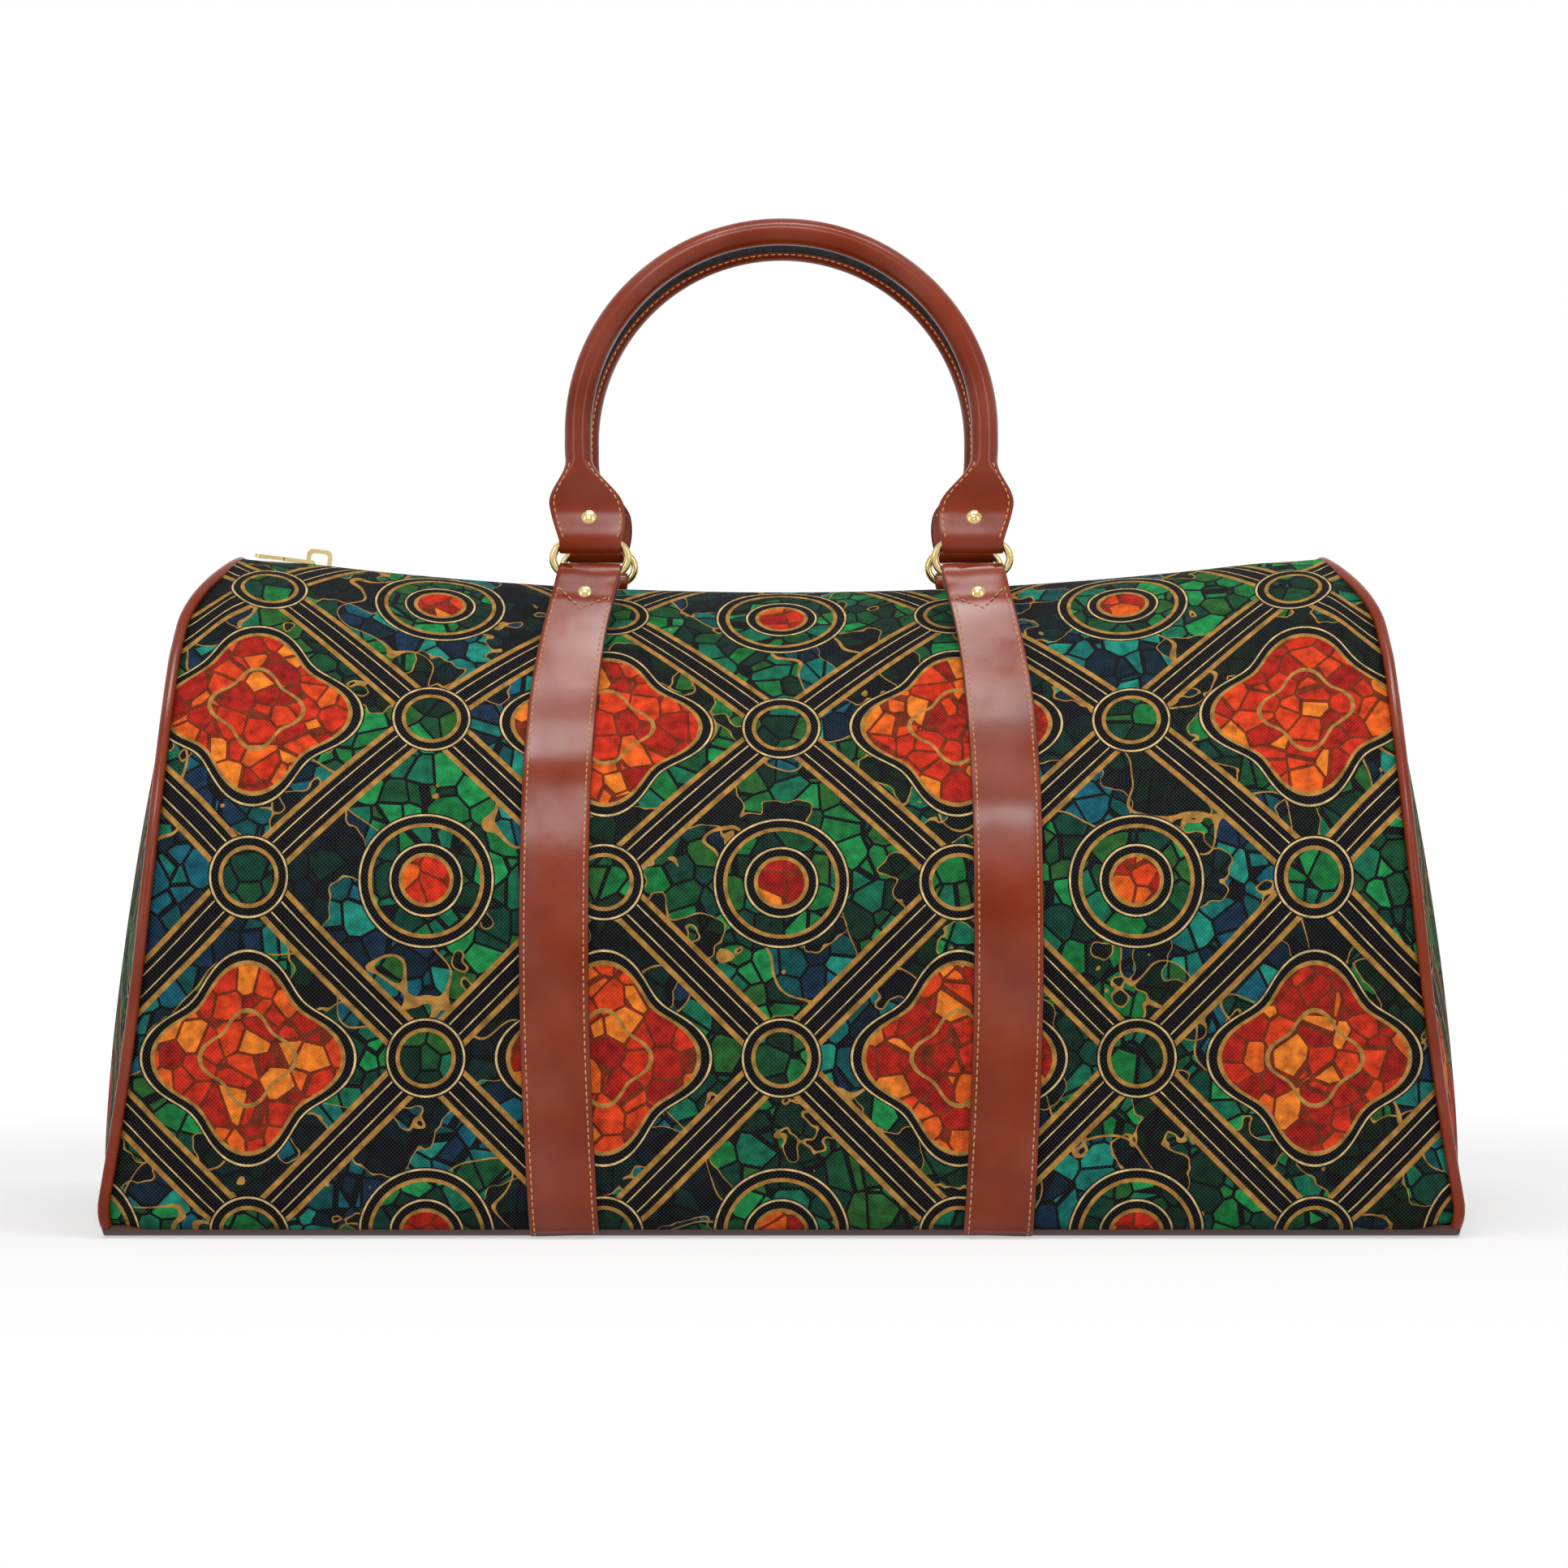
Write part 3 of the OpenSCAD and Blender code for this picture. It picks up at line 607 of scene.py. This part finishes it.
def strap_path(shift):
    """Points of a strap as (distance from the middle plane, height, height that sets its place
    along the bag), and how many of them are outside."""
    sewn = []
    for s, run in places(seam_turn, lift_s, sewn_steps):
        z = section(s, strap_mid_x, 0)[1]
        y, z = section(s, strap_x(z), -strap_lay - strap_t / 2 - strap_wave(z, shift))
        sewn.append((y, z, z))
    lift, bar = Vector(sewn[-1][:2]), Vector((ring_y, ring_z))
    lift_wave = strap_wave(lift_z, shift)
    free_l = (bar - lift).length
    up_way = (bar - lift) / free_l
    out = Vector((up_way.y, -up_way.x))
    path = list(sewn)

    def add(to_bar, off):
        p = bar - up_way * to_bar + out * off
        path.append((p.x, p.y, (bar - up_way * to_bar).y))

    for i in range(1, free_steps + 1):
        to_bar = free_l * (1 - i / free_steps)
        wave = strap_wave((bar - up_way * to_bar).y, shift) - lift_wave * to_bar / free_l
        add(to_bar, strap_loop_r * smooth(1 - to_bar / loop_run) + wave)
    outer_count = len(path)
    for i in range(1, loop_steps):
        turn = math.pi * i / loop_steps
        p = bar + strap_loop_r * (out * math.cos(turn) + up_way * math.sin(turn))
        path.append((p.x, p.y, ring_z))
    for i in range(loop_steps + 1):
        to_bar = fold_l * i / loop_steps
        add(to_bar, -strap_t - (strap_loop_r - strap_t) * smooth(1 - to_bar / loop_run))
    return path, outer_count


painted_faces = 3
edge_paint, edge_shader = new_finish("black edge paint", 0.45)
mottle(edge_paint, edge_shader, 260.0, 4.0, [(0.3, (0.010, 0.006, 0.005)), (0.7, (0.030, 0.016, 0.012))])


def paint_edges(piece, sides, runs):
    """Paints the cut edges of a swept strip along runs of its stations."""
    piece.data.materials.append(edge_paint)
    for face in piece.data.polygons:
        station, k = divmod(face.index, sides)
        at_edge = (k + painted_faces // 2 + 1) % (sides // 2) < painted_faces
        if at_edge and any(first <= station < last for first, last in runs):
            face.material_index = 1


def stitch_row(points, pitch):
    """Places at even steps along a line of (place, outward direction)."""
    marks, waited = [], pitch / 2
    for (a, out_a), (b, out_b) in zip(points, points[1:]):
        step = (b - a).length
        while waited <= step:
            f = waited / step
            marks.append((a.lerp(b, f), (b - a).normalized(), out_a.lerp(out_b, f).normalized()))
            waited += pitch
        waited -= step
    return marks


# The stitching is tan thread, sewn by machine along both edges of the straps, tabs and handle seams
# in short even stitches that sink into the sheet.
thread, thread_shader = new_finish("tan thread", 0.7)
mottle(thread, thread_shader, 900.0, 3.0, [(0.3, (0.44, 0.20, 0.075)), (0.7, (0.62, 0.33, 0.14))])
stitch_pitch = 0.0027
stitch_l = 0.0020
thread_r = 0.00031
thread_sides = 6
stitch_shape = [(-0.5, 0.15, -0.5), (-0.36, 0.85, 0.3), (0.0, 1.0, 0.65), (0.36, 0.85, 0.3),
                (0.5, 0.15, -0.5)]


def stitches(name, marks, body):
    """Every stitch is a short bead of thread that dips at both ends."""
    points, faces, sides = [], [], thread_sides
    for place, way, out in marks:
        across = way.cross(out).normalized()
        first = len(points)
        for run, r, lift in stitch_shape:
            middle = place + way * run * stitch_l + out * lift * thread_r
            for k in range(sides):
                turn = 2 * math.pi * k / sides
                points.append(middle + thread_r * r * (across * math.cos(turn) + out * math.sin(turn)))
        for i in range(len(stitch_shape) - 1):
            for k in range(sides):
                a, b = first + i * sides + k, first + i * sides + (k + 1) % sides
                faces.append((a, b, b + sides, a + sides))
        faces.append(tuple(first + k for k in range(sides))[::-1])
        faces.append(tuple(first + (len(stitch_shape) - 1) * sides + k for k in range(sides)))
    mesh = bpy.data.meshes.new(name)
    mesh.from_pydata(points, [], faces)
    mesh.materials.append(thread)
    piece = bpy.data.objects.new(name, mesh)
    bpy.context.scene.collection.objects.link(piece)
    face_outwards(piece)
    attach(piece, body)
    return piece


stitch_inset = 0.0019
stitch_stop = 4
point_drop = 3
strap_shift = (0.9, 2.1)
for side, y_sign in (("front", -1), ("back", 1)):
    for end, x_sign in (("left", -1), ("right", 1)):
        strap_line, strap_outer_count = strap_path(strap_shift[0] * x_sign + strap_shift[1] * y_sign)
        line = [Vector((x_sign * strap_x(place_z), y_sign * y, z)) for y, z, place_z in strap_line]
        stations, edges = [], {-1: [], 1: []}
        for i, middle in enumerate(line):
            way = (line[min(i + 1, len(line) - 1)] - line[max(i - 1, 0)]).normalized()
            wide = (Vector((1, 0, 0)) - way.x * way).normalized()
            thick = wide.cross(way) * -y_sign
            narrow = smooth((middle.z - lift_z) / (ring_z - lift_z)) * (strap_half - strap_end_half)
            half = strap_half - narrow - (fold_narrow if i > strap_outer_count else 0)
            stations.append((middle, wide, thick, half, strap_t / 2, flat_edge))
            if i < strap_outer_count - stitch_stop:
                for edge in edges:
                    sewn_at = middle + edge * (half - stitch_inset) * wide + thick * strap_t / 2
                    edges[edge].append((sewn_at, thick))
        strap = sweep(f"leather_strap_{side}_{end}", stations, sides=strap_sides)
        strap.data.materials.append(tan)
        paint_edges(strap, strap_sides, [(0, len(stations) - 1)])
        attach(strap, "bag")
        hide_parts(f"strap_{side}_{end}")
        marks = stitch_row(edges[-1], stitch_pitch) + stitch_row(edges[1], stitch_pitch)
        left, right = edges[-1], edges[1]
        top = strap_outer_count - stitch_stop - 1
        tip = top - point_drop
        point = ((left[tip][0] + right[tip][0]) / 2, right[tip][1])
        marks += stitch_row([left[top], point, right[top]], stitch_pitch)
        stitches(f"strap_stitching_{side}_{end}", marks, "bag")

# The rings are bent from round wire and welded, and the rivets are turned and set by a press.
# All the metal has a thin pale gold plating.
gold, gold_shader = new_finish("pale gold plating", 0.2, metallic=1.0)
gold_at = gold.node_tree.nodes.new("ShaderNodeTexCoord").outputs["Object"]
gold_wear = speckle(gold, gold_at, 160.0, 3.0)
gold.node_tree.links.new(ramp(gold, gold_wear, [(0.3, (0.60, 0.44, 0.18)), (0.7, (0.70, 0.54, 0.25))]),
                         gold_shader.inputs["Base Color"])
gold.node_tree.links.new(ramp(gold, gold_wear, [(0.3, (0.11, 0.11, 0.11)), (0.75, (0.18, 0.18, 0.18))]),
                         gold_shader.inputs["Roughness"])
dress(gold, "ring_front_left", "ring_front_right", "ring_back_left", "ring_back_right", "strap_rivets_front",
      "strap_rivets_back", "handle_rivets_front", "handle_rivets_back", "zip_slider", "zip_pull", "zip_stops")

# Each handle is leather-look sheet rolled round a cord and sewn along its inner side. It opens out flat
# into a tab at both ends, which folds round the ring's upper bar and is riveted to itself.
upper_bar_z = ring_high[2] - wire_r
grip_r = 0.00525
bow_r = 0.079
bow_z = 0.044
handle_lean = math.radians(6.7)
tab_half_w = 0.0145
tab_end_half = 0.012
tab_z = 0.0140
neck_end = 0.033
neck_z = bow_z - grip_r
neck_h = neck_end - tab_z
layer_t = 0.002
tab_loop_r = 0.0033
fold_over = 0.002
fold_in = 0.0006
tab_steps = 40
bow_steps = 48
handle_sides = 32


def ease(f):
    return (1 - math.cos(math.pi * min(1, max(0, f)))) / 2


def tab_x(h):
    return ring_x + (bow_r - ring_x) * ease(h / neck_z)


def tab_half(h):
    if h < tab_z:
        return tab_end_half + (tab_half_w - tab_end_half) * math.sin(math.pi / 2 * max(0, h) / tab_z)
    return grip_r + (tab_half_w - grip_r) * (1 - ease((h - tab_z) / neck_h))


def tab_spread(h):
    """Distance of a layer's middle from the tab's middle, wider at the ring."""
    return layer_t / 2 + (tab_loop_r - layer_t / 2) * smooth(1 - h / loop_run)


def tab_layer(h):
    """The outer layer's place, half thickness and squareness as the flat tab rolls up."""
    rolled = smooth((h - tab_z) / neck_h)
    return (tab_spread(h) * (1 - rolled), layer_t / 2 + (grip_r - layer_t / 2) * rolled,
            flat_edge + (2 - flat_edge) * rolled)


def half_handle():
    """Stations from the folded end to the top of the bow as (x, d, h, wide, thick, half width,
    half thickness, squareness), with d out of the bag and h up the handle."""
    made = []
    for i in range(loop_steps + 1):
        h = (tab_z + fold_over) * (1 - i / loop_steps)
        made.append((tab_x(h), -tab_spread(h), h, (1, 0, 0), (0, -1, 0), tab_half(h) - fold_in, layer_t / 2,
                     flat_edge))
    for i in range(1, loop_steps):
        turn = math.pi * i / loop_steps
        radial = (0, -math.cos(turn), -math.sin(turn))
        made.append((ring_x, tab_loop_r * radial[1], tab_loop_r * radial[2], (1, 0, 0), radial, tab_end_half,
                     layer_t / 2, flat_edge))
    for i in range(tab_steps + 1):
        h = neck_z * i / tab_steps
        d, half_t, square = tab_layer(h)
        made.append((tab_x(h), d, h, (1, 0, 0), (0, 1, 0), tab_half(h), half_t, square))
    made.append((bow_r, 0, (neck_z + bow_z) / 2, (1, 0, 0), (0, 1, 0), grip_r, grip_r, 2))
    for i in range(bow_steps + 1):
        turn = math.pi / 2 * i / bow_steps
        c, s = math.cos(turn), math.sin(turn)
        made.append((bow_r * c, 0, bow_z + bow_r * s, (c, 0, s), (0, 1, 0), grip_r, grip_r, 2))
    return made


seam_black, seam_shader = new_finish("black seam tape", 0.55)
mottle(seam_black, seam_shader, 500.0, 4.0, [(0.3, (0.008, 0.008, 0.009)), (0.7, (0.022, 0.021, 0.022))])
seam_shader.inputs["Specular IOR Level"].default_value = 0.15
right_half = half_handle()
left_half = [(-x, d, h, (-w[0], w[1], w[2]), t, a, b, q) for x, d, h, w, t, a, b, q in right_half[-2::-1]]
tab_count = 2 * loop_steps
painted_steps = 20
stitched_steps = 32
seam_half = 0.0017
seam_half_t = 0.0005
seam_sink = 0.97
seam_sides = 12
seam_square = 4
seam_stitch = 0.48
for side, y_sign in (("front", -1), ("back", 1)):
    bar = Vector((0, y_sign * ring_y, upper_bar_z))
    out_way = Vector((0, y_sign * math.cos(handle_lean), math.sin(handle_lean)))
    up_way = Vector((0, -y_sign * math.sin(handle_lean), math.cos(handle_lean)))

    def turned(v):
        return Vector((v[0], 0, 0)) + v[1] * out_way + v[2] * up_way

    stations = [(bar + turned((x, d, h)), turned(w), turned(t), a, b, q)
                for x, d, h, w, t, a, b, q in right_half + left_half]
    handle = sweep(f"leather_handle_{side}", stations, sides=handle_sides)
    handle.data.materials.append(tan)
    last, painted = len(stations) - 1, tab_count + painted_steps
    paint_edges(handle, handle_sides, [(0, painted), (last - painted, last)])
    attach(handle, f"handle_{side}")
    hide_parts(f"handle_{side}")
    rolled = [station for station in stations if station[5] == 2]
    seam_line = [(middle - grip_r * seam_sink * thick, wide, thick, seam_half, seam_half_t, seam_square)
                 for middle, wide, thick, a, b, q in rolled]
    seam = sweep(f"handle_seam_{side}", seam_line, sides=seam_sides)
    seam.data.materials.append(seam_black)
    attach(seam, f"handle_{side}")
    marks = []
    for lean_in in (-seam_stitch, seam_stitch):
        row = []
        for middle, wide, thick, a, b, q in rolled:
            skin_out = lean_in * wide - math.sqrt(1 - lean_in ** 2) * thick
            row.append((middle + grip_r * skin_out, skin_out))
        marks += stitch_row(row, stitch_pitch)
    for x_sign in (-1, 1):
        for edge in (-1, 1):
            row = []
            for i in range(1, stitched_steps + 1):
                h = neck_z * i / tab_steps
                d, half_t, square = tab_layer(h)
                inner = max(0, 1 - stitch_inset / tab_half(h))
                skin = half_t * (1 - inner ** square) ** (1 / square)
                x = tab_x(h) + edge * inner * tab_half(h)
                row.append((bar + turned((x_sign * x, d + skin, h)), out_way))
            marks += stitch_row(row, stitch_pitch)
    stitches(f"handle_stitching_{side}", marks, f"handle_{side}")
cord_core, cord_shader = new_finish("handle cord", 0.8)
mottle(cord_core, cord_shader, 700.0, 4.0, [(0.3, (0.03, 0.03, 0.03)), (0.7, (0.09, 0.09, 0.09))])
dress(cord_core, "handle_core_front", "handle_core_back")

# The zip has two black woven tapes with a row of moulded teeth on each, and lies under the panels' edges
# along the sagging top.
tape, tape_shader = new_finish("black zip tape", 0.75)
tape_at = tape.node_tree.nodes.new("ShaderNodeTexCoord").outputs["Object"]
tape_rib = tape.node_tree.nodes.new("ShaderNodeTexWave")
tape_rib.inputs["Scale"].default_value = 420.0
tape.node_tree.links.new(tape_at, tape_rib.inputs["Vector"])
tape.node_tree.links.new(ramp(tape, tape_rib.outputs["Fac"],
                              [(0.2, (0.010, 0.010, 0.011)), (0.8, (0.030, 0.029, 0.030))]),
                         tape_shader.inputs["Base Color"])
raise_surface(tape, tape_shader, tape_rib.outputs["Fac"], 0.3, 0.0003)
teeth, teeth_shader = new_finish("moulded teeth", 0.35)
mottle(teeth, teeth_shader, 300.0, 4.0, [(0.3, (0.016, 0.015, 0.015)), (0.7, (0.040, 0.038, 0.037))])
dress(tape, "zip_tape_front", "zip_tape_back")
dress(teeth, "zip_teeth_front", "zip_teeth_back")

# The stage is a white floor, lit softly by a front box, a top box, a tall strip on each side and the room.
# The floor keeps the bag's shadow and turns plain white away from it.
floor_half = 6.0
shadow_reach = (0.34, 0.75)
near_white = 0.5
floor_z = -0.0002
bpy.ops.mesh.primitive_plane_add(size=2 * floor_half, location=(0, 0, floor_z))
floor = bpy.context.active_object
floor.name = "floor"
floor_white, floor_shader = new_finish("white floor", 0.9)
floor_shader.inputs["Base Color"].default_value = (0.88, 0.88, 0.88, 1)
floor_shader.inputs["Specular IOR Level"].default_value = 0.0
floor_nodes = floor_white.node_tree.nodes


def seen_white(tree):
    """1 for the rays that see the background: from the camera, off metal and through glass."""
    rays = tree.nodes.new("ShaderNodeLightPath")
    seen = rays.outputs["Is Camera Ray"]
    for kind in ("Is Glossy Ray", "Is Transmission Ray"):
        either = tree.nodes.new("ShaderNodeMath")
        either.operation = "MAXIMUM"
        tree.links.new(seen, either.inputs[0])
        tree.links.new(rays.outputs[kind], either.inputs[1])
        seen = either.outputs[0]
    return seen


floor_at = floor_nodes.new("ShaderNodeTexCoord").outputs["Object"]
floor_from = floor_nodes.new("ShaderNodeVectorMath")
floor_from.operation = "LENGTH"
floor_white.node_tree.links.new(floor_at, floor_from.inputs[0])
fade = floor_nodes.new("ShaderNodeMapRange")
fade.interpolation_type = "SMOOTHSTEP"
feed(floor_white, fade.inputs["Value"], floor_from.outputs["Value"])
for name, value in (("From Min", shadow_reach[0]), ("From Max", shadow_reach[1]),
                    ("To Min", near_white), ("To Max", 1.0)):
    fade.inputs[name].default_value = value
glow = floor_nodes.new("ShaderNodeEmission")
floor_mix = floor_nodes.new("ShaderNodeMixShader")
glow_share = calc(floor_white, "MULTIPLY", fade.outputs["Result"], seen_white(floor_white.node_tree))
feed(floor_white, floor_mix.inputs[0], glow_share)
floor_white.node_tree.links.new(floor_shader.outputs[0], floor_mix.inputs[1])
floor_white.node_tree.links.new(glow.outputs[0], floor_mix.inputs[2])
floor_white.node_tree.links.new(floor_mix.outputs[0], floor_nodes["Material Output"].inputs["Surface"])
floor.data.materials.append(floor_white)

room_level = 0.40
world = bpy.data.worlds.new("room")
bpy.context.scene.world = world
world.use_nodes = True
room = world.node_tree.nodes["Background"]
room.inputs["Color"].default_value = (1, 1, 1, 1)
level = world.node_tree.nodes.new("ShaderNodeMapRange")
level.inputs["To Min"].default_value = room_level
world.node_tree.links.new(seen_white(world.node_tree), level.inputs["Value"])
world.node_tree.links.new(level.outputs["Result"], room.inputs["Strength"])


def soft_box(name, place, aim, size, watts):
    lamp = bpy.data.lights.new(name, "AREA")
    lamp.shape = "RECTANGLE"
    lamp.size, lamp.size_y = size
    lamp.energy = watts
    box = bpy.data.objects.new(name, lamp)
    bpy.context.scene.collection.objects.link(box)
    box.location = place
    box.rotation_euler = (Vector(aim) - Vector(place)).to_track_quat("-Z", "Y").to_euler()


soft_box("front box", (-0.15, -1.9, 1.85), (0, 0, 0.15), (0.9, 0.45), 15)
soft_box("left strip", (-1.45, -1.6, 0.95), (0, 0, 0.25), (0.16, 1.0), 5)
soft_box("right strip", (1.3, -1.6, 0.95), (0, 0, 0.25), (0.16, 1.0), 5)
soft_box("top box", (0.1, -0.5, 1.8), (0, 0, 0.2), (1.2, 0.32), 16)

# The camera stands two metres in front of the bag at the height of its upper wall,
# and looks level at the front panel.
camera_at = (0.001, -2.0, 0.170)
focal_px = 6217
frame_px = 1932
sensor_mm = 36.0
view = bpy.data.cameras.new("view")
view.sensor_width = sensor_mm
view.lens = sensor_mm * focal_px / frame_px
eye = bpy.data.objects.new("view", view)
bpy.context.scene.collection.objects.link(eye)
eye.location = camera_at
eye.rotation_euler = (math.pi / 2, 0, 0)
bpy.context.scene.camera = eye
bpy.context.scene.view_settings.view_transform = "Standard"
